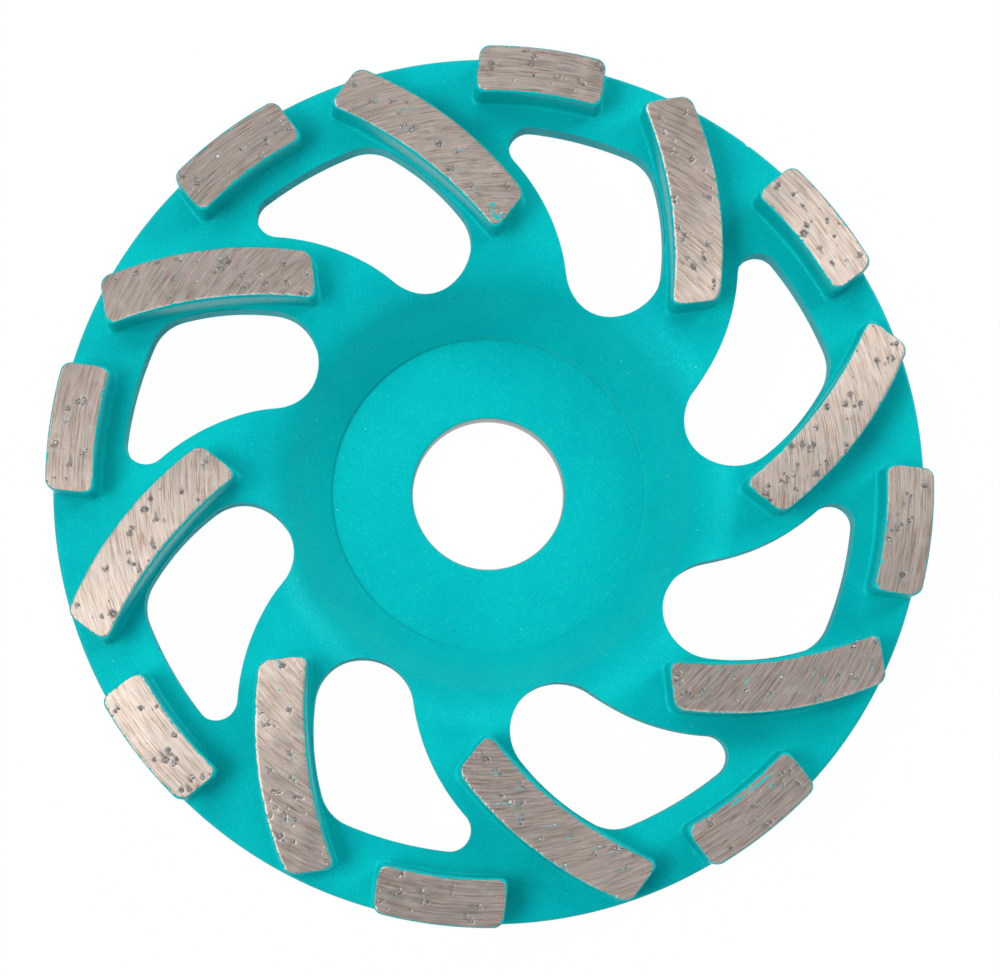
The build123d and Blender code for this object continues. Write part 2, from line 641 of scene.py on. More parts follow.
def set_mark(mesh: bpy.types.Mesh, mark: Mark, values: np.ndarray, domain: str = "POINT") -> None:
    """Write an attribute for a finish.

    Args:
        mesh: The mesh that carries it.
        mark: Which attribute.
        values: One value per point or face corner.
        domain: POINT or CORNER.
    """
    layer = mesh.attributes.new(mark.value, "FLOAT", domain)
    layer.data.foreach_set("value", np.asarray(values, np.float32))


def on_circle(radius: float, degrees: float) -> Vector:
    """Give the point at a radius and an angle round the axis."""
    turn = math.radians(degrees)
    return Vector((radius * math.cos(turn), radius * math.sin(turn), 0.0))


@dataclass(frozen=True)
class Ring:
    """One closed line round a bar: how far inside the bar's outline, and how high."""

    inset: float
    height: float
    hollow_inset: float | None = None


@dataclass(frozen=True)
class BowedBar:
    """Outline of a segment: a bowed bar with straight ends and rounded corners."""

    length: float
    width: float
    crown_radius: float
    hollow_radius: float
    distance: float
    angle: float
    turn: float
    corner: float = 1.3

    @property
    def area(self) -> float:
        """Area of the face in square millimetres, with its corners counted in."""
        return self.length * self.width

    def columns(self, u: np.ndarray) -> tuple[np.ndarray, np.ndarray]:
        """Spread columns over the length, closer together at the round corners.

        Args:
            u: Places between -1 and 1.

        Returns:
            Places along the bar, and how much the corners take from each side there.
        """
        straight = self.length / 2 - self.corner
        round_share = self.corner * math.pi / 2 / (straight + self.corner * math.pi / 2)
        reach = np.abs(u)
        phi = np.clip((reach - (1 - round_share)) / round_share, 0, 1) * math.pi / 2
        along = np.where(phi > 0, straight + self.corner * np.sin(phi), reach / (1 - round_share) * straight)
        return np.sign(u) * along, self.corner * (1 - np.cos(phi))

    def spread(self, u: np.ndarray, v: np.ndarray, inset: np.ndarray) -> tuple[np.ndarray, np.ndarray]:
        """Carry a square onto the bar's face, in the bar's own axes.

        Args:
            u: Along the bar, between -1 and 1.
            v: Across it, from the hollow side at -1 to the crown side at 1.
            inset: How far inside the outline the square's edge lies.

        Returns:
            The places along and across, in millimetres.
        """
        along, corner_cut = self.columns(u)
        crown = self.width / 2 - self.crown_radius + np.sqrt(self.crown_radius**2 - along**2)
        hollow = -self.width / 2 - self.hollow_radius + np.sqrt(self.hollow_radius**2 - along**2)
        half = (crown - hollow) / 2 - corner_cut - inset
        shrink = 1 - inset / (self.length / 2)
        return along * shrink, (crown + hollow) / 2 + v * half

    def to_wheel(self, along: np.ndarray, across: np.ndarray) -> tuple[np.ndarray, np.ndarray]:
        """Carry the bar's own axes to its place on the wheel.

        Args:
            along: Places along the bar.
            across: Places across it.

        Returns:
            X and Y on the wheel.
        """
        heading = math.radians(self.angle + self.turn)
        middle = on_circle(self.distance, self.angle)
        x = middle.x + along * math.cos(heading) - across * math.sin(heading)
        y = middle.y + along * math.sin(heading) + across * math.cos(heading)
        return x, y

    def loft(self, spacing: float, rings: int) -> bmesh.types.BMesh:
        """Make a closed block of a top grid and rings of wall, still as a square of (u, v).

        Args:
            spacing: Width of the top's cells.
            rings: How many rings of wall hang from the top's edge.

        Returns:
            The block, whose Z is minus the ring's number.
        """
        block = bmesh.new()
        bmesh.ops.create_grid(
            block,
            x_segments=max(2, round(self.length / spacing)),
            y_segments=max(2, round(self.width / spacing)),
            size=1.0,
        )
        edge = [e for e in block.edges if e.is_boundary]
        for _ in range(rings):
            made = bmesh.ops.extrude_edge_only(block, edges=edge)["geom"]
            bmesh.ops.translate(
                block, verts=[g for g in made if isinstance(g, bmesh.types.BMVert)], vec=(0, 0, -1)
            )
            edge = [g for g in made if isinstance(g, bmesh.types.BMEdge) and g.is_boundary]
        bmesh.ops.holes_fill(block, edges=edge, sides=0)
        bmesh.ops.recalc_face_normals(block, faces=block.faces[:])
        return block


@dataclass
class WheelBody:
    """Steel cup: flat hub, cone, flat rim, eight windows and a pad under each segment."""

    plate: float = 4.4
    depth: float = 11.9
    rim_radius: float = 62.2
    rim_round: float = 0.5
    cone_foot: float = 22.8
    cone_width: float = 8.8
    crease_radius: float = 35.5
    crease_slope: float = 9.25
    crease_round: float = 0.25
    crown_back_bend: float = 6.3
    foot_back_bend: float = 3.0
    bore_radius: float = 11.115
    bore_round: float = 0.5
    seat_depth: float = 0.2
    seat_margin: float = 0.3
    seat_edge_round: float = 0.1
    seat_foot_round: float = 0.08
    # Width and heading of the painted highlight along the seat's edge.
    highlight_reach: float = 0.05
    highlight_heading: float = 35.0
    steps: int = 240
    window_round: float = 0.12
    arc_step: float = 0.7
    arc_share: float = 0.12
    arc_weld: float = 0.02
    longest_run: float = 4.0
    window_angle: float = 23.3
    window_margin: float = 9.8
    lobe_radius: float = 7.0
    lobe_inset: float = 25.8
    lobe_lag: float = 7.7
    tip_radius: float = 3.0
    tip_lead: float = 15.1
    shoulder_radius: float = 6.3
    shoulder_lag: float = 0.95
    bulge_radius: float = 34.8
    hollow_radius: float = 30.7
    nick_angle: float = 53.1
    nick_radius: float = 0.6
    nick_depth: float = 0.25
    nick_height: float = 8.0
    nick_sides: int = 16
    punch_floor: float = -1.0
    punch_roof: float = 22.0
    pad_cell: float = 0.5
    pad_ripple: float = 0.12
    pad_skirt_depth: float = 0.03
    pad_skirt_slope: float = 0.01
    pad_edge_gap: float = 0.12
    pad_window_reach: float = 2.0
    least_edge: float = 0.005
    bore_skin: float = 0.12
    wall_inner: float = 26.0
    wall_outer: float = 54.0
    wall_height: float = 1.0

    # The punch's rings from the back to the front: how far out, which face, how far into the plate.
    # Lengths are shares of window_round, and the last chord at each face carries on beyond it.
    FLARE = (
        (1.35, -1, -0.094), (0.5, -1, 0.134), (0.134, -1, 0.5), (0.0, -1, 1.0),
        (0.0, 1, 1.0), (0.134, 1, 0.5), (0.5, 1, 0.134), (1.35, 1, -0.094),
    )

    # The rays that look for the cup's faces start this far over or under the hub's back, in metres.
    RAY_START = 0.1

    # A pad's lines from under the segment down the braze, out over the rim's face and into the plate.
    PAD_RINGS = (
        Ring(0.12, 1.0), Ring(0.0, 0.85), Ring(-0.04, 0.46), Ring(-0.1, 0.26), Ring(-0.2, 0.15),
        Ring(-0.33, 0.08), Ring(-0.48, 0.045), Ring(-0.56, 0.0), Ring(-0.62, -0.12), Ring(-0.62, -1.6),
    )

    @property
    def rim_top(self) -> float:
        """Height of the rim's face."""
        return self.depth + self.plate

    @property
    def cone_top(self) -> float:
        """Radius where the cone meets the rim."""
        return self.cone_foot + self.cone_width

    def _section(self) -> bmesh.types.BMesh:
        """Draw the cup's section at the right of the axis, with its bends rounded.

        Returns:
            The section's outline as a ring of edges.
        """
        slope = math.atan2(self.depth, self.cone_width)
        half = math.tan(slope / 2)
        shift = self.plate * half
        rise = math.tan(slope)
        fall = math.tan(math.radians(self.crease_slope))
        crown = (self.depth - self.crease_radius * fall + self.cone_foot * rise) / (rise - fall)
        crown_drop = (self.crease_radius - crown) * fall
        crown_reach = math.hypot(self.crease_radius - crown, crown_drop) - self.crease_round
        seat = self.cone_foot + self.seat_margin
        seat_top = self.plate - self.seat_depth
        corners = [
            (self.bore_radius, 0.0, self.bore_round, 4),
            (self.cone_foot + shift, 0.0, self.foot_back_bend * half, 8),
            (self.cone_top + shift, self.depth, self.crown_back_bend * half, 10),
            (self.rim_radius, self.depth, self.rim_round, 4),
            (self.rim_radius, self.rim_top, self.rim_round, 4),
            (self.crease_radius, self.rim_top, self.crease_round, 2),
            (crown, self.rim_top - crown_drop, crown_reach, 18),
            (seat, self.plate + self.seat_margin * rise, self.seat_edge_round, 3),
            (seat, seat_top, self.seat_foot_round, 3),
            (self.bore_radius, seat_top, self.bore_round, 5),
        ]
        section = bmesh.new()
        places = [Vector((r * MM, 0.0, z * MM)) for r, z, _, _ in corners]
        outline: list[bmesh.types.BMVert] = []
        for number, (_, _, reach, steps) in enumerate(corners):
            before, corner = places[number - 1], places[number]
            after = places[(number + 1) % len(places)]
            outline += self._bend(section, before, corner, after, reach * MM, steps)
        made = section.faces.new(outline)
        bmesh.ops.delete(section, geom=[made], context="FACES_ONLY")
        for edge in section.edges[:]:
            cuts = int(edge.calc_length() / (self.longest_run * MM))
            if cuts:
                bmesh.ops.subdivide_edges(section, edges=[edge], cuts=cuts)
        return section

    @staticmethod
    def _bend(
        section: bmesh.types.BMesh, before: Vector, corner: Vector, after: Vector, reach: float, steps: int
    ) -> list[bmesh.types.BMVert]:
        """Round one corner of the section with an arc that meets both of its sides.

        Args:
            section: The mesh that holds the section.
            before: The corner before it.
            corner: The corner to round.
            after: The corner after it.
            reach: How far from the corner the arc starts.
            steps: Edges in the arc.

        Returns:
            The arc's points in order.
        """
        back, on = (before - corner).normalized(), (after - corner).normalized()
        turn = math.pi - back.angle(on)
        centre = corner + (back + on).normalized() * reach / math.sin(turn / 2)
        start = section.verts.new(corner + back * reach)
        axis = (start.co - centre).cross(corner + on * reach - centre)
        known = set(section.verts)
        bmesh.ops.spin(
            section, geom=[start], cent=centre, axis=axis.normalized(), dvec=(0, 0, 0), angle=turn,
            steps=steps, use_merge=False, use_duplicate=False,
        )
        section.verts.ensure_lookup_table()
        return [start] + [v for v in section.verts if v not in known]

    def _window(self, tool: bmesh.types.BMesh, middle: float, skin: BVHTree) -> None:
        """Add one window's punch: six arcs that run into each other, drawn up through the plate.

        Args:
            tool: The mesh that holds the punches.
            middle: The window's angle round the wheel.
            skin: The uncut cup.
        """
        outer = self.rim_radius - self.window_margin
        axis = Vector((0.0, 0.0, 0.0))
        lobe = on_circle(self.rim_radius - self.lobe_inset, middle - self.lobe_lag)
        tip = on_circle(outer - self.tip_radius, middle + self.tip_lead)
        shoulder = on_circle(outer - self.shoulder_radius, middle - self.shoulder_lag)
        bulge = self._meet(
            shoulder, self.bulge_radius - self.shoulder_radius, lobe, self.bulge_radius - self.lobe_radius, -1
        )
        hollow = self._meet(
            lobe, self.hollow_radius + self.lobe_radius, tip, self.hollow_radius + self.tip_radius, 1
        )
        tip_out = tip.normalized() * outer
        shoulder_out = shoulder.normalized() * outer
        shoulder_end = bulge + (shoulder - bulge).normalized() * self.bulge_radius
        lobe_start = bulge + (lobe - bulge).normalized() * self.bulge_radius
        lobe_end = lobe + (hollow - lobe).normalized() * self.lobe_radius
        tip_start = tip + (hollow - tip).normalized() * self.tip_radius
        arcs = [
            (axis, tip_out, shoulder_out, -1),
            (shoulder, shoulder_out, shoulder_end, -1),
            (bulge, shoulder_end, lobe_start, -1),
            (lobe, lobe_start, lobe_end, -1),
            (hollow, lobe_end, tip_start, 1),
            (tip, tip_start, tip_out, -1),
        ]
        outline: list[bmesh.types.BMVert] = []
        for centre, start, end, way in arcs:
            outline += self._arc(tool, centre, start, end, way)
        bmesh.ops.remove_doubles(tool, verts=outline, dist=self.arc_weld * MM)
        self._draw_up(tool, [v for v in outline if v.is_valid], skin)

    def _draw_up(self, tool: bmesh.types.BMesh, ring: list[bmesh.types.BMVert], skin: BVHTree) -> None:
        """Draw a window's outline up into a punch that widens where it meets the cup's two faces.

        Args:
            tool: The mesh that holds the punches.
            ring: The outline, clockwise from above.
            skin: The uncut cup.
        """
        number = tool.verts.layers.int["column"]
        places = [vertex.co.copy() for vertex in ring]
        aside = []
        for index, vertex in enumerate(ring):
            vertex[number] = index
            along = (places[(index + 1) % len(ring)] - places[index - 1]).normalized()
            aside.append(Vector((-along.y, along.x, 0.0)))
        bottom = bmesh.ops.contextual_create(tool, geom=ring)["faces"][0]
        first_out = self.FLARE[0][0]
        for vertex in ring:
            spot = places[vertex[number]] + aside[vertex[number]] * first_out * self.window_round * MM
            vertex.co = spot
        face = bottom
        for out, side, depth in self.FLARE:
            face = self._step_up(tool, face, bottom)
            for vertex in face.verts:
                spot = places[vertex[number]] + aside[vertex[number]] * out * self.window_round * MM
                start = Vector((spot.x, spot.y, self.RAY_START * side))
                met, _, _, _ = skin.ray_cast(start, Vector((0.0, 0.0, -side)))
                vertex.co = met - Vector((0.0, 0.0, side * depth * self.window_round * MM))
        for vertex in self._step_up(tool, face, bottom).verts:
            vertex.co.z = self.punch_roof * MM

    @staticmethod
    def _step_up(
        tool: bmesh.types.BMesh, face: bmesh.types.BMFace, bottom: bmesh.types.BMFace
    ) -> bmesh.types.BMFace:
        """Extrude the punch's top face, and take away the face left inside.

        Args:
            tool: The mesh that holds the punches.
            face: The top face.
            bottom: The bottom face, which stays.

        Returns:
            The new top face, still in the old one's place.
        """
        grown = bmesh.ops.extrude_face_region(tool, geom=[face])["geom"]
        if face.is_valid and face != bottom:
            bmesh.ops.delete(tool, geom=[face], context="FACES_ONLY")
        return next(g for g in grown if isinstance(g, bmesh.types.BMFace))

    def _arc(
        self, tool: bmesh.types.BMesh, centre: Vector, start: Vector, end: Vector, way: int
    ) -> list[bmesh.types.BMVert]:
        """Spin a point along an arc below the wheel.

        Args:
            tool: The mesh that holds the punches.
            centre: The arc's centre in millimetres.
            start: Where it starts.
            end: Where it ends.
            way: 1 for anticlockwise, -1 for clockwise.

        Returns:
            The arc's points in order.
        """
        first, last = start - centre, end - centre
        sweep = (math.atan2(last.y, last.x) - math.atan2(first.y, first.x)) * way % math.tau
        step = min(self.arc_step, first.length * self.arc_share)
        steps = max(2, round(sweep * first.length / step))
        point = tool.verts.new((start.x * MM, start.y * MM, self.punch_floor * MM))
        before = set(tool.verts)
        bmesh.ops.spin(
            tool, geom=[point], cent=centre * MM, axis=(0, 0, 1), dvec=(0, 0, 0),
            angle=sweep * way, steps=steps, use_merge=False, use_duplicate=False,
        )
        tool.verts.ensure_lookup_table()
        return [point] + [v for v in tool.verts if v not in before]

    @staticmethod
    def _meet(first: Vector, first_reach: float, second: Vector, second_reach: float, side: int) -> Vector:
        """Find the point at one reach from each of two centres.

        Args:
            first: First centre.
            first_reach: Distance from it.
            second: Second centre.
            second_reach: Distance from that one.
            side: 1 for the left of the line between them, -1 for the right.

        Returns:
            The point.
        """
        line = second - first
        turn = math.acos(
            (line.length**2 + first_reach**2 - second_reach**2) / (2 * line.length * first_reach)
        )
        return first + on_circle(first_reach, math.degrees(math.atan2(line.y, line.x) + side * turn))

    def _punches(self, skin: BVHTree) -> bpy.types.Object:
        """Make the tool that cuts the windows and the nick.

        Args:
            skin: The uncut cup.

        Returns:
            The tool as an object.
        """
        tool = bmesh.new()
        column = tool.verts.layers.int.new("column")
        for number in range(PATTERN_COUNT):
            self._window(tool, self.window_angle + PITCH_ANGLE * number, skin)
        nick = on_circle(self.rim_radius + self.nick_radius - self.nick_depth, self.nick_angle)
        made = bmesh.ops.create_cone(
            tool, cap_ends=True, segments=self.nick_sides, radius1=self.nick_radius * MM,
            radius2=self.nick_radius * MM, depth=self.nick_height * MM,
        )
        bmesh.ops.translate(tool, verts=made["verts"], vec=(nick.x * MM, nick.y * MM, self.rim_top * MM))
        tool.verts.layers.int.remove(column)
        bmesh.ops.recalc_face_normals(tool, faces=tool.faces[:])
        mesh = bpy.data.meshes.new("window_punches")
        tool.to_mesh(mesh)
        tool.free()
        return new_object("window_punches", mesh)

    def _pads(self, bars: Sequence[BowedBar]) -> bpy.types.Mesh:
        """Make the low pad under each segment, with the braze that climbs its wall.

        Args:
            bars: The outlines of the segments.

        Returns:
            The pads as closed shells that reach into the rim, and near the windows just under its face.
        """
        pads = bmesh.new()
        for number, bar in enumerate(bars):
            block = bar.loft(self.pad_cell, len(self.PAD_RINGS) - 1)
            mesh = bpy.data.meshes.new("pad")
            block.to_mesh(mesh)
            block.free()
            co = np.empty(len(mesh.vertices) * 3)
            mesh.vertices.foreach_get("co", co)
            u, v, level = co.reshape(-1, 3).T
            ring = np.rint(-level).astype(int)
            wave = soft_noise(u * bar.length * 0.6 + 9.0, v * 3.0 + number * 5.3, 40 + number) - 0.5
            inset = np.array([r.inset for r in self.PAD_RINGS])[ring]
            inset = inset + wave * self.pad_ripple * (inset < -0.1)
            along, across = bar.spread(u, v, inset)
            x, y = bar.to_wheel(along, across)
            reach = np.hypot(x, y)
            held = np.minimum(1.0, (self.rim_radius - self.pad_edge_gap) / reach)
            height = np.array([r.height for r in self.PAD_RINGS])[ring]
            # A window can cross the pad here, and its wall would show the pad's buried part.
            near_window = reach < self.rim_radius - self.window_margin + self.pad_window_reach
            shallow = self.pad_skirt_slope * height - self.pad_skirt_depth
            height = np.where(near_window, np.maximum(height, shallow), height)
            z = self.rim_top + height
            mesh.vertices.foreach_set("co", (np.stack([x * held, y * held, z], 1) * MM).ravel())
            pads.from_mesh(mesh)
            bpy.data.meshes.remove(mesh)
        joined = bpy.data.meshes.new("pads")
        pads.to_mesh(joined)
        pads.free()
        return joined

    @staticmethod
    def _cut(mesh: bpy.types.Mesh, punches: bpy.types.Object) -> bpy.types.Mesh:
        """Cut the windows and the nick out of a closed mesh.

        Args:
            mesh: The mesh to cut.
            punches: The tool.

        Returns:
            What is left of the mesh.
        """
        whole = new_object("uncut", mesh)
        cut = whole.modifiers.new("windows", "BOOLEAN")
        cut.operation = "DIFFERENCE"
        cut.solver = "EXACT"
        cut.object = punches
        graph = bpy.context.evaluated_depsgraph_get()
        left = bpy.data.meshes.new_from_object(whole.evaluated_get(graph))
        bpy.data.objects.remove(whole)
        bpy.data.meshes.remove(mesh)
        return left

    def build(self, bars: Sequence[BowedBar], finishes: Sequence[bpy.types.Material]) -> bpy.types.Object:
        """Make the body and dress it.

        Args:
            bars: The outlines of the segments that it carries.
            finishes: The finishes in the order of CupFinish.

        Returns:
            The body.
        """
        blank = self._section()
        bmesh.ops.spin(
            blank, geom=blank.verts[:] + blank.edges[:], cent=(0, 0, 0), axis=(0, 0, 1), dvec=(0, 0, 0),
            angle=math.tau, steps=self.steps, use_merge=True, use_duplicate=False,
        )
        bmesh.ops.recalc_face_normals(blank, faces=blank.faces[:])
        mesh = bpy.data.meshes.new("cup")
        blank.to_mesh(mesh)
        punches = self._punches(BVHTree.FromBMesh(blank))
        blank.free()
        cup = self._cut(mesh, punches)
        pads = self._cut(self._pads(bars), punches)
        bpy.data.objects.remove(punches)
        body = bmesh.new()
        body.from_mesh(cup)
        bmesh.ops.dissolve_degenerate(body, dist=self.least_edge * MM, edges=body.edges[:])
        body.from_mesh(pads)
        bpy.data.meshes.remove(pads)
        body.to_mesh(cup)
        body.free()
        cup.name = "cup_wheel_body"
        cup.materials.clear()
        for finish in finishes:
            cup.materials.append(finish)
        self._dress(cup)
        made = new_object("painted_cup", cup)
        even = made.modifiers.new("even_shading", "WEIGHTED_NORMAL")
        even.mode = "FACE_AREA"
        even.weight = 50
        even.keep_sharp = True
        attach(made, ROOT_BODY)
        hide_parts("cup_body")
        return made

    def _dress(self, cup: bpy.types.Mesh) -> None:
        """Choose each face's finish, mark the back of the window walls where the paint wears pale, and paint
        a pale highlight along the seat's edge.

        Args:
            cup: The body's mesh.
        """
        paint_wear_and_highlight = np.zeros(len(cup.loops))
        for face in cup.polygons:
            face.use_smooth = True
            centre = face.center
            radius = math.hypot(centre.x, centre.y) / MM
            to_axis = (face.normal.x * centre.x + face.normal.y * centre.y) < 0
            if radius < self.bore_radius + self.bore_skin and abs(face.normal.z) < 0.5 and to_axis:
                face.material_index = CupFinish.BORE
            for loop in face.loop_indices:
                # Painted highlight along the seat's edge, brightest towards the upper right.
                point = cup.vertices[cup.loops[loop].vertex_index].co
                paint_wear_and_highlight[loop] = self._seat_highlight(point)
            if abs(face.normal.z) > 0.3 or not self.wall_inner < radius < self.wall_outer:
                continue
            heights = [cup.vertices[i].co.z for i in face.vertices]
            low, high = min(heights), max(heights)
            if high - low < self.wall_height * MM:
                continue
            face.material_index = CupFinish.INSIDE_WINDOW
            for loop in face.loop_indices:
                z = cup.vertices[cup.loops[loop].vertex_index].co.z
                paint_wear_and_highlight[loop] = 1.0 - (z - low) / (high - low)
        cup.set_sharp_from_angle(angle=SHARP_ANGLE)
        set_mark(cup, Mark.PAINT_WEAR_AND_HIGHLIGHT, paint_wear_and_highlight, "CORNER")

    def _seat_highlight(self, point: Vector) -> float:
        """Give the painted highlight along the edge of the turned seat, which is strongest at the upper
        right.

        Args:
            point: A point of the body, in metres.

        Returns:
            0 away from the edge, and up to 1 on it.
        """
        edge = self.cone_foot + self.seat_margin
        rise = self.depth / self.cone_width
        top = self.plate + self.seat_margin * rise
        if math.hypot(math.hypot(point.x, point.y) - edge * MM, point.z - top * MM) > self.highlight_reach * MM:
            return 0.0
        turn = math.atan2(point.y, point.x) - math.radians(self.highlight_heading)
        return 0.9 + 0.1 * math.cos(turn)


@dataclass(frozen=True)
class Smear:
    """A patch of paint left on a segment's face, in millimetres and degrees on the wheel."""

    x: float
    y: float
    length: float
    width: float
    heading: float


@dataclass(frozen=True)
class WearPlan:
    """How many marks a segment's face has for each square millimetre, and their sizes in millimetres."""

    pits_per_mm2: float = 0.1
    pit_radius: tuple[float, float] = (0.07, 0.2)
    grits_per_mm2: float = 0.072
    grit_radius: tuple[float, float] = (0.2, 0.34)
    tail_length: tuple[float, float] = (1.0, 3.4)
    tail_strength: float = 0.5
    rust_per_mm2: float = 0.006
    # Share of crystals that get painted glints.
    bright_share: float = 0.12
    painted_share: float = 0.0
    pair_share: float = 0.35
    pair_gap: float = 2.6
    pair_size: float = 0.8


@dataclass
class Segment:
    """One diamond segment: ground face, chipped painted edge and painted walls."""

    name: str
    node: str
    bar: BowedBar
    seed: int
    base: float
    top: float
    spacing: float = 0.115
    face_drop: float = 0.1
    wall_wobble: float = 0.06
    lip_wear: float = 0.25
    chip_start: float = 0.62
    chip_depth: float = 0.5
    edge_ripple: float = 0.09
    groove_depth: float = 0.018
    swell_height: float = 0.05
    pit_depth: float = 0.12
    tail_height: float = 0.06
    residue_height: float = 0.02
    border_drop: float = 0.05
    grit_stretch: tuple[float, float] = (0.7, 1.25)
    grit_jitter: tuple[float, float] = (0.85, 1.15)
    grit_sink: float = 0.35
    grit_clearance: float = 0.01
    wear: WearPlan = field(default_factory=WearPlan)
    smears: tuple[Smear, ...] = ()

    # Lines from the face's border over the edge and down the wall, the last of them at the base.
    RINGS = (
        Ring(0.13, 0.0, 0.30), Ring(0.07, -0.03, 0.22), Ring(0.02, -0.12, 0.09), Ring(0.0, -0.3, 0.0),
        Ring(0.0, -1.2, 0.0), Ring(0.0, -2.6, 0.0), Ring(0.0, -4.0, 0.0),
    )
    LAST_MARKED_RING = 1
    LAST_CHIPPED_RING = 2
    LIP_RINGS = (2, 3)
    FIRST_WALL_RING = 4

    # The walls' mean distance from the axis, which turns their waver into a share of it.
    WALL_RADIUS = 50.0

    # The texture space is centred on the wheel's axis, so that the shine follows the grooves.
    TEXTURE_HALF_SIZE = (0.0625, 0.0625, 0.01)

    def build(self, finishes: Sequence[bpy.types.Material]) -> bpy.types.Object:
        """Make the segment and dress it.

        Args:
            finishes: The finishes in the order of SegmentFinish.

        Returns:
            The segment.
        """
        draw = np.random.default_rng(self.seed)
        block = self.bar.loft(self.spacing, len(self.RINGS))
        mesh = bpy.data.meshes.new(self.name)
        block.to_mesh(mesh)
        block.free()
        co = np.empty(len(mesh.vertices) * 3)
        mesh.vertices.foreach_get("co", co)
        u, v, level = co.reshape(-1, 3).T
        ring = np.rint(-level).astype(int)
        inset, height = self._edge_line(u, v, ring)
        along, across = self.bar.spread(u, v, inset)
        x, y = self.bar.to_wheel(along, across)
        on_face = ring == 0
        grits = self._choose_grits(draw)
        marks = self._marks(draw, x, y, grits)
        relief = np.where(on_face, self._relief(u, v, x, y, marks), 0.0)
        z = np.where(ring == len(self.RINGS), self.base, self.top - self.face_drop + height) + relief
        wave = soft_noise(u * self.bar.length, z * 0.8, self.seed + 3) - 0.5
        wobble = np.where(ring >= self.FIRST_WALL_RING, wave * self.wall_wobble, 0.0)
        pull = 1 - np.abs(wobble) / self.WALL_RADIUS
        mesh.vertices.foreach_set("co", (np.stack([x * pull, y * pull, z], 1) * MM).ravel())
        marked = np.where(ring <= self.LAST_MARKED_RING, 1.0, 0.0)
        for mark, values in marks.items():
            set_mark(mesh, mark, values * marked)
        set_mark(mesh, Mark.PAINT_WEAR_AND_HIGHLIGHT, np.where(np.isin(ring, self.LIP_RINGS), self.lip_wear, 0.0))
        for finish in finishes:
            mesh.materials.append(finish)
        rings_of_face = np.array([ring[list(face.vertices)].max() for face in mesh.polygons])
        finish_of_face = np.where(rings_of_face >= 1, SegmentFinish.PAINT, SegmentFinish.BOND)
        mesh.polygons.foreach_set("material_index", finish_of_face.astype(np.int32))
        set_mark(mesh, Mark.PAINTED_GLINT, np.zeros(len(mesh.vertices)))
        self._add_grits(mesh, grits, draw)
        for face in mesh.polygons:
            face.use_smooth = face.material_index != SegmentFinish.GRIT
        mesh.set_sharp_from_angle(angle=SHARP_ANGLE)
        mesh.use_auto_texspace = False
        mesh.texspace_location = (0.0, 0.0, self.top * MM)
        mesh.texspace_size = self.TEXTURE_HALF_SIZE
        made = new_object(self.name, mesh)
        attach(made, ROOT_BODY)
        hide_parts(self.node)
        return made

    def _edge_line(self, u: np.ndarray, v: np.ndarray, ring: np.ndarray) -> tuple[np.ndarray, np.ndarray]:
        """Work out how far in and how low each point lies for its ring.

        Args:
            u: Place along the bar, -1 to 1.
            v: Place across it, -1 at the hollow side.
            ring: The ring's number, 0 for the face.

        Returns:
            The inset and the height over the face.
        """
        rings = (self.RINGS[0], *self.RINGS)
        plain = np.array([r.inset for r in rings])[ring]
        hollow = np.array([r.inset if r.hollow_inset is None else r.hollow_inset for r in rings])[ring]
        share = smooth_step(-v, 0.5, 0.95)
        inset = plain * (1 - share) + hollow * share
        chips = soft_noise(u * self.bar.length * 1.3 + 7, v * self.bar.width * 1.3 + 7, self.seed + 1)
        fine = soft_noise(u * self.bar.length * 3.1 + 3, v * self.bar.width * 3.1 + 3, self.seed + 2)
        chipped = np.maximum(0, chips - self.chip_start) * self.chip_depth
        inset = inset + (chipped + (fine - 0.5) * self.edge_ripple) * (ring <= self.LAST_CHIPPED_RING)
        return np.maximum(inset, 0.0), np.array([r.height for r in rings])[ring]

    def _choose_grits(self, draw: np.random.Generator) -> np.ndarray:
        """Scatter the crystals, some of them in pairs.

        Args:
            draw: The segment's random source.

        Returns:
            Rows of X, Y, radius, tail length, tail strength, painted glint and paint in the tail.
        """
        rows = []
        for _ in range(round(self.bar.area * self.wear.grits_per_mm2)):
            u, v = draw.uniform(-0.95, 0.95), draw.uniform(-0.88, 0.9)
            along, across = self.bar.spread(np.array([u]), np.array([v]), np.array([0.3]))
            x, y = self.bar.to_wheel(along, across)
            size = draw.uniform(*self.wear.grit_radius)
            tail = draw.uniform(*self.wear.tail_length)
            strength = draw.uniform(0.3, 1.0) * self.wear.tail_strength
            bright = float(draw.random() < self.wear.bright_share)
            painted = float(draw.random() < self.wear.painted_share)
            rows.append((x[0], y[0], size, tail, strength, bright, painted))
            if draw.random() < self.wear.pair_share:
                turn = draw.uniform(0, math.tau)
                gap = self.wear.pair_gap * size
                rows.append((
                    x[0] + gap * math.cos(turn), y[0] + gap * math.sin(turn), size * self.wear.pair_size,
                    tail * 0.7, strength * 0.8, bright * draw.random(), 0.0,
                ))
        return np.array(rows)

    def _marks(
        self, draw: np.random.Generator, x: np.ndarray, y: np.ndarray, grits: np.ndarray
    ) -> dict[Mark, np.ndarray]:
        """Work out the pits, tails, rust and paint residue at each point.

        Args:
            draw: The segment's random source.
            x: X on the wheel.
            y: Y on the wheel.
            grits: The crystals.

        Returns:
            A value between 0 and 1 for each mark and point.
        """
        rough = soft_noise(x * 4.3 + 300, y * 4.3 + 300, self.seed + 5) - 0.5
        pit = self._pits(draw, x, y, rough)
        rust = self._rust(draw, x, y, rough)
        tail, hollow, line = self._behind_grits(x, y, rough, grits)
        residue = np.clip(np.maximum(line, self._smeared(x, y, rough)), 0, 1)
        # The hollows and tail shadows join the pits' dark painted shade.
        pit = np.maximum(pit, hollow) * (1 - residue)
        return {Mark.PIT: pit, Mark.TAIL: tail, Mark.RUST: rust, Mark.RESIDUE: residue}

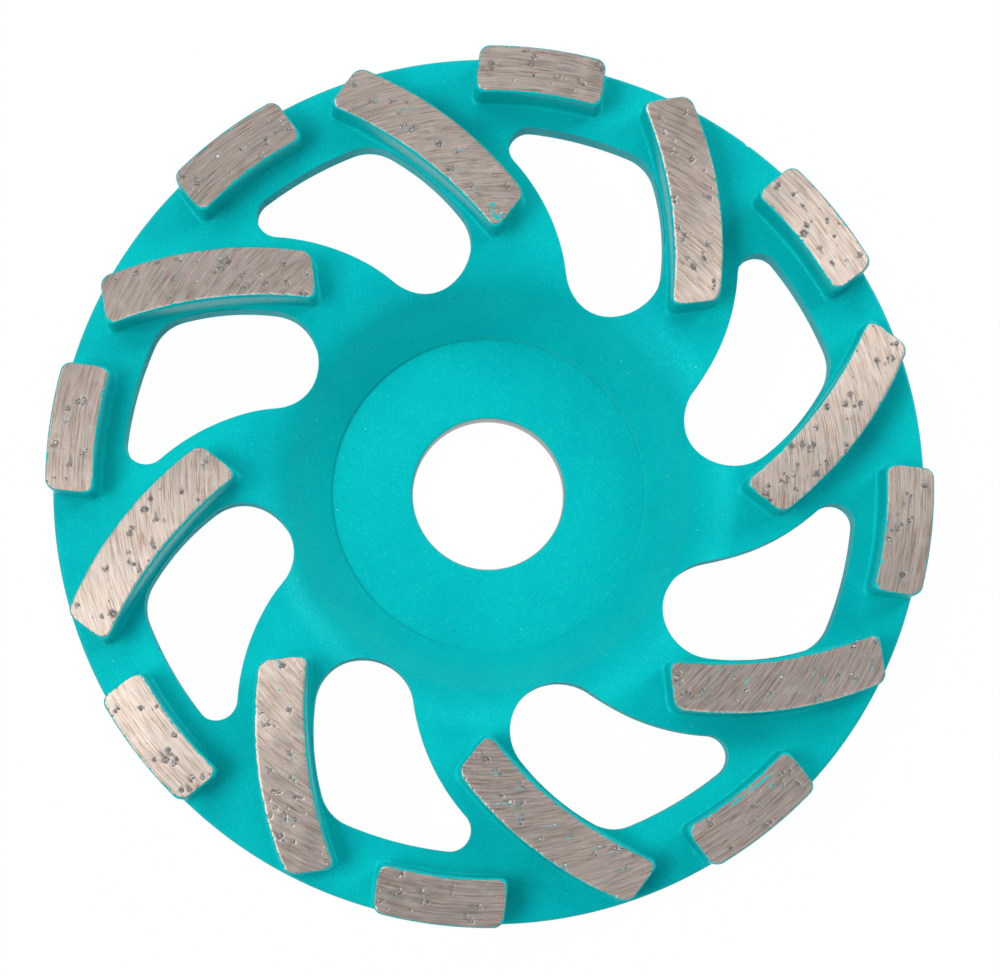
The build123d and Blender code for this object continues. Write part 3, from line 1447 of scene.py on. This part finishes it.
    def _pits(self, draw: np.random.Generator, x: np.ndarray, y: np.ndarray, rough: np.ndarray) -> np.ndarray:
        """Scatter the pits that lost crystals leave.

        Args:
            draw: The segment's random source.
            x: X on the wheel.
            y: Y on the wheel.
            rough: Noise that frays the pits' edges.

        Returns:
            A value between 0 and 1 for each point.
        """
        pit = np.zeros_like(x)
        smallest, largest = self.wear.pit_radius
        for _ in range(round(self.bar.area * self.wear.pits_per_mm2)):
            px, py = self._anywhere(draw)
            size = smallest + (largest - smallest) * draw.random() ** 2
            squash = draw.uniform(0.6, 1.0)
            turn = draw.uniform(0, math.pi)
            dx, dy = x - px, y - py
            along = dx * math.cos(turn) + dy * math.sin(turn)
            across = (dy * math.cos(turn) - dx * math.sin(turn)) / squash
            gap = np.hypot(along, across) / size + rough * 0.7
            pit = np.maximum(pit, (1 - smooth_step(gap, 0.55, 1.15)) * draw.uniform(0.4, 0.9))
        return pit

    def _rust(self, draw: np.random.Generator, x: np.ndarray, y: np.ndarray, rough: np.ndarray) -> np.ndarray:
        """Scatter the rust specks.

        Args:
            draw: The segment's random source.
            x: X on the wheel.
            y: Y on the wheel.
            rough: Noise that frays the specks' edges.

        Returns:
            A value between 0 and 1 for each point.
        """
        rust = np.zeros_like(x)
        for _ in range(round(self.bar.area * self.wear.rust_per_mm2)):
            px, py = self._anywhere(draw)
            gap = np.hypot(x - px, y - py) / draw.uniform(0.15, 0.35) + rough
            rust = np.maximum(rust, (1 - smooth_step(gap, 0.5, 1.2)) * draw.uniform(0.3, 0.7))
        return rust

    @staticmethod
    def _behind_grits(
        x: np.ndarray, y: np.ndarray, rough: np.ndarray, grits: np.ndarray
    ) -> tuple[np.ndarray, np.ndarray, np.ndarray]:
        """Draw what lies round the crystals and behind them, as the wheel turns.

        Args:
            x: X on the wheel.
            y: Y on the wheel.
            rough: Noise that frays the edges.
            grits: The crystals.

        Returns:
            The tails of bond, the hollows with their painted shade and a painted shadow beside some tails,
            and the lines of paint, between 0 and 1 for each point.
        """
        tail, hollow, line = np.zeros_like(x), np.zeros_like(x), np.zeros_like(x)
        radius, angle = np.hypot(x, y), np.arctan2(y, x)
        for number, (gx, gy, size, length, strength, _, painted) in enumerate(grits):
            lag = (math.atan2(gy, gx) - angle + math.pi) % math.tau - math.pi
            run = lag * radius
            share = np.clip(run / length, 0, 1)
            width = size * (1.15 - 0.75 * share) + 0.05
            near = (run > -size) & (run < length)
            off = radius - math.hypot(gx, gy)
            tail = np.maximum(tail, np.exp(-(off / width) ** 2) * (1 - share) * near * strength)
            # Every other tail gets a painted shadow along one side.
            if number % 2:
                fade = 1 - smooth_step(share, 0.2, 0.6)
                tail_shadow = np.exp(-((off + size * 0.3) / (width * 0.5)) ** 2) * fade
                hollow = np.maximum(hollow, tail_shadow * near * 0.5)
            # A darkened hollow round each crystal: painted shade in the recess.
            gap = np.hypot(x - gx, y - gy) / (size * (1.4 + 0.15 * (number % 3))) + rough * 1.1
            depth = 0.42 + 0.15 * (number % 4)
            hollow = np.maximum(hollow, (1 - smooth_step(gap, 0.4, 1.1)) * depth)
            streak = np.exp(-((off - size * 0.7) / 0.1) ** 2) * (1 - smooth_step(share, 0.45, 0.8)) * near
            line = np.maximum(line, streak * painted * (0.55 + rough))
        return tail, hollow, line

    def _smeared(self, x: np.ndarray, y: np.ndarray, rough: np.ndarray) -> np.ndarray:
        """Lay the patches of paint that are left on the face.

        Args:
            x: X on the wheel.
            y: Y on the wheel.
            rough: Noise that frays the patches' edges.

        Returns:
            A value between 0 and 1 for each point.
        """
        paint = np.zeros_like(x)
        for smear in self.smears:
            turn = math.radians(smear.heading)
            dx, dy = x - smear.x, y - smear.y
            along = (dx * math.cos(turn) + dy * math.sin(turn)) / (smear.length / 2)
            across = (dy * math.cos(turn) - dx * math.sin(turn)) / (smear.width / 2)
            paint = np.maximum(paint, 1 - smooth_step(np.hypot(along, across) + rough * 0.5, 0.8, 1.05))
        return paint

    def _anywhere(self, draw: np.random.Generator) -> tuple[float, float]:
        """Choose a point of the face.

        Args:
            draw: The segment's random source.

        Returns:
            Its X and Y on the wheel.
        """
        u, v = draw.uniform(-1, 1), draw.uniform(-1, 1)
        along, across = self.bar.spread(np.array([u]), np.array([v]), np.array([0.1]))
        x, y = self.bar.to_wheel(along, across)
        return float(x[0]), float(y[0])

    def _relief(
        self, u: np.ndarray, v: np.ndarray, x: np.ndarray, y: np.ndarray, marks: dict[Mark, np.ndarray]
    ) -> np.ndarray:
        """Work out the face's height over its mean plane.

        Args:
            u: Place along the bar.
            v: Place across it.
            x: X on the wheel.
            y: Y on the wheel.
            marks: The marks at each point.

        Returns:
            The height in millimetres.
        """
        radius, angle = np.hypot(x, y), np.arctan2(y, x) % math.tau
        grooves = soft_noise(radius * 4.5, angle * 12.0, self.seed + 8) - 0.5
        swell = soft_noise(x * 0.5 + 200, y * 0.5 + 200, self.seed + 9) - 0.5
        border = np.maximum(smooth_step(np.abs(v), 0.93, 1.0), smooth_step(np.abs(u), 0.98, 1.0))
        return (
            grooves * self.groove_depth + swell * self.swell_height - marks[Mark.PIT] * self.pit_depth
            + marks[Mark.TAIL] * self.tail_height + marks[Mark.RESIDUE] * self.residue_height
            - border * self.border_drop
        )

    def _add_grits(self, mesh: bpy.types.Mesh, grits: np.ndarray, draw: np.random.Generator) -> None:
        """Set the crystals into the face.

        Args:
            mesh: The segment's mesh.
            grits: The crystals.
            draw: The segment's random source.
        """
        whole = bmesh.new()
        whole.from_mesh(mesh)
        shine = whole.verts.layers.float[Mark.PAINTED_GLINT.value]
        highest = (self.top - self.grit_clearance) * MM
        for gx, gy, size, _, _, bright, _ in grits:
            middle = (self.top - self.face_drop - size * self.grit_sink) * MM
            made = bmesh.ops.create_icosphere(whole, subdivisions=1, radius=1.0)["verts"]
            stretch = draw.uniform(*self.grit_stretch, 3) * size * MM
            turn = draw.uniform(0, math.tau)
            cos_turn, sin_turn = math.cos(turn), math.sin(turn)
            for vertex in made:
                # Whether this crystal gets painted glints.
                vertex[shine] = bright
                jitter = draw.uniform(*self.grit_jitter)
                sx, sy, sz = (vertex.co[i] * stretch[i] * jitter for i in range(3))
                vertex.co = (
                    gx * MM + sx * cos_turn - sy * sin_turn,
                    gy * MM + sx * sin_turn + sy * cos_turn,
                    min(highest, middle + sz),
                )
                for face in vertex.link_faces:
                    face.material_index = SegmentFinish.GRIT
        whole.to_mesh(mesh)
        whole.free()


@dataclass
class SegmentRing:
    """Eight long swirled segments and eight short ones at the rim."""

    base: float = 16.6
    top: float = 22.8
    long_angle: float = 9.35
    short_angle: float = 38.1
    long_length: float = 30.0
    long_width: float = 7.3
    long_crown: float = 53.7
    long_hollow: float = 59.6
    long_distance: float = 49.55
    long_swirl: float = 43.4
    short_length: float = 18.2
    short_width: float = 6.9
    short_outer: float = 62.5
    worn_more: dict[str, WearPlan] = field(default_factory=lambda: {
        "long_3": WearPlan(tail_strength=0.9, bright_share=0.3, painted_share=0.1),
        "long_6": WearPlan(tail_strength=0.8, painted_share=0.15),
        "long_7": WearPlan(grits_per_mm2=0.085, tail_strength=1.0, bright_share=0.45, painted_share=0.7),
        "long_8": WearPlan(grits_per_mm2=0.08, tail_strength=1.0, bright_share=0.5, painted_share=0.6),
        "long_1": WearPlan(grits_per_mm2=0.1, grit_radius=(0.24, 0.38), tail_strength=0.5),
        "short_1": WearPlan(grits_per_mm2=0.09, tail_strength=0.7),
        "short_5": WearPlan(grits_per_mm2=0.1, tail_strength=0.5),
    })
    paint_left: dict[str, tuple[Smear, ...]] = field(default_factory=lambda: {
        "long_3": (
            Smear(0.04, 39.26, 0.95, 0.62, 0.0), Smear(0.07, 38.6, 0.5, 0.42, 0.0),
            Smear(0.36, 37.75, 1.3, 0.5, -65.0), Smear(0.92, 37.28, 1.05, 0.52, 8.0),
            Smear(1.34, 37.72, 0.72, 0.58, 50.0),
        ),
        "long_6": (
            Smear(-26.31, -36.37, 0.42, 0.32, 0.0), Smear(-27.75, -39.23, 0.4, 0.3, 60.0),
            Smear(-27.38, -41.99, 0.42, 0.3, 30.0), Smear(-29.56, -29.71, 0.35, 0.25, 0.0),
        ),
        "long_8": (Smear(35.7, -28.4, 1.3, 0.24, 42.0), Smear(31.96, -26.78, 0.4, 0.3, 0.0)),
        "short_7": (
            Smear(37.35, -42.54, 4.8, 0.42, 38.4), Smear(34.25, -44.95, 3.0, 0.42, 37.0),
            Smear(39.0, -42.85, 0.75, 0.4, 60.0),
        ),
        "short_8": (Smear(55.0, -11.6, 0.7, 0.3, 80.0),),
    })

    def long_bar(self, number: int) -> BowedBar:
        """Give the outline of one long segment, counted from 0."""
        return BowedBar(
            self.long_length, self.long_width, self.long_crown, self.long_hollow, self.long_distance,
            self.long_angle + PITCH_ANGLE * number, self.long_swirl - 180.0,
        )

    def short_bar(self, number: int) -> BowedBar:
        """Give the outline of one short segment, counted from 0."""
        return BowedBar(
            self.short_length, self.short_width, self.short_outer, self.short_outer - self.short_width,
            self.short_outer - self.short_width / 2, self.short_angle + PITCH_ANGLE * number, -90.0,
        )

    def bars(self) -> list[BowedBar]:
        """Give all sixteen outlines, the long ones first."""
        numbers = range(PATTERN_COUNT)
        return [self.long_bar(n) for n in numbers] + [self.short_bar(n) for n in numbers]

    def build(self, finishes: Sequence[bpy.types.Material]) -> list[bpy.types.Object]:
        """Make the sixteen segments.

        Args:
            finishes: The finishes in the order of SegmentFinish.

        Returns:
            The segments.
        """
        made = []
        for kind, bar_of, seed in (("long", self.long_bar, 100), ("short", self.short_bar, 200)):
            for number in range(PATTERN_COUNT):
                place = f"{kind}_{number + 1}"
                segment = Segment(
                    name=f"{kind}_diamond_{number + 1}", node=f"{kind}_segment_{number + 1}",
                    bar=bar_of(number), seed=seed + number * 11, base=self.base, top=self.top,
                    wear=self.worn_more.get(place, WearPlan()), smears=self.paint_left.get(place, ()),
                )
                made.append(segment.build(finishes))
        return made


# Studio


@dataclass(frozen=True)
class SoftLamp:
    """A soft square lamp that looks at the wheel's middle."""

    name: str
    azimuth: float
    elevation: float
    distance: float
    size: float
    power: float
    colour: tuple[float, float, float] = (1.0, 1.0, 1.0)

    def build(self) -> bpy.types.Object:
        """Hang the lamp.

        Returns:
            The lamp.
        """
        lamp = bpy.data.lights.new(self.name, "AREA")
        lamp.shape = "SQUARE"
        lamp.size = self.size
        lamp.energy = self.power
        lamp.color = self.colour
        made = bpy.data.objects.new(self.name, lamp)
        bpy.context.scene.collection.objects.link(made)
        level = math.cos(math.radians(self.elevation))
        where = on_circle(self.distance * level, self.azimuth)
        where.z = self.distance * math.sin(math.radians(self.elevation))
        made.location = where
        made.rotation_euler = where.to_track_quat("Z", "Y").to_euler()
        return made


@dataclass
class Studio:
    """Floor, lamps, world and camera.

    The camera's place, lens and sensor are in millimetres; the floor, lamps and clipping are in metres.
    """

    lens: float = 103.39
    sensor: float = 36.0
    camera_place: tuple[float, float, float] = (-10.07, -49.16, 423.0)
    pitch: float = 6.81
    roll: float = -1.61
    floor_size: float = 4.0
    nearest: float = 0.01
    farthest: float = 20.0
    sky: float = 0.2
    sky_colour: tuple[float, float, float] = (0.78, 0.92, 1.25)
    lamps: tuple[SoftLamp, ...] = (
        SoftLamp("main_softbox", 190.0, 60.0, 0.9, 0.36, 3.6),
        SoftLamp("low_softbox", 36.0, 32.0, 0.9, 0.36, 3.3),
        SoftLamp("far_softbox", 90.0, 48.0, 0.9, 0.36, 1.5),
        SoftLamp("top_softbox", 138.0, 52.0, 0.9, 0.36, 1.2),
        SoftLamp("side_softbox", 214.0, 32.0, 0.9, 0.36, 1.4),
        SoftLamp("near_softbox", 300.0, 32.0, 0.9, 0.36, 1.0),
    )

    def build(self) -> None:
        """Set up the studio round the wheel."""
        scene = bpy.context.scene
        scene.view_settings.view_transform = "Standard"
        world = bpy.data.worlds.new("studio_world")
        world.use_nodes = True
        shade = world.node_tree.nodes["Background"]
        shade.inputs["Color"].default_value = rgba(self.sky_colour)
        shade.inputs["Strength"].default_value = self.sky
        scene.world = world
        for lamp in self.lamps:
            lamp.build()
        self._floor()
        self._camera()

    def _floor(self) -> None:
        """Lay the floor under the hub."""
        sheet = bmesh.new()
        bmesh.ops.create_grid(sheet, x_segments=1, y_segments=1, size=self.floor_size / 2)
        mesh = bpy.data.meshes.new("floor")
        sheet.to_mesh(mesh)
        sheet.free()
        mesh.materials.append(StudioFloor().make())
        new_object("studio_floor", mesh)

    def _camera(self) -> None:
        """Stand the camera where the photograph was taken from."""
        lens = bpy.data.cameras.new("photo_camera")
        lens.lens = self.lens
        lens.sensor_width = self.sensor
        lens.sensor_fit = "HORIZONTAL"
        lens.clip_start = self.nearest
        lens.clip_end = self.farthest
        made = bpy.data.objects.new("photo_camera", lens)
        bpy.context.scene.collection.objects.link(made)
        made.location = tuple(value * MM for value in self.camera_place)
        made.rotation_euler = (math.radians(self.pitch), math.radians(self.roll), 0.0)
        bpy.context.scene.camera = made


def main() -> None:
    """Build the wheel and its studio, and log each piece's face count."""
    logging.basicConfig(level=logging.INFO, format="%(message)s")
    paint = TurquoisePaint().make()
    bond = BronzeBond().make()
    grit = DiamondGrit().make()
    bare = BareSteel().make()
    # The window walls' coat is greyer and matt, and painted paler than the main coat to stand in for the
    # light on the walls.
    inside = TurquoisePaint(
        name="turquoise_coat_inside_windows_painted_light", colour=(0.12, 0.52, 0.53), shade=(0.08, 0.44, 0.46),
        roughness=0.8, gloss=0.1,
    ).make()
    ring = SegmentRing()
    body = WheelBody().build(ring.bars(), (paint, bare, inside))
    log.info("%s: %d faces", body.name, len(body.data.polygons))
    for segment in ring.build((bond, paint, grit)):
        log.info("%s: %d faces", segment.name, len(segment.data.polygons))
    Studio().build()


if __name__ == "__main__":
    main()
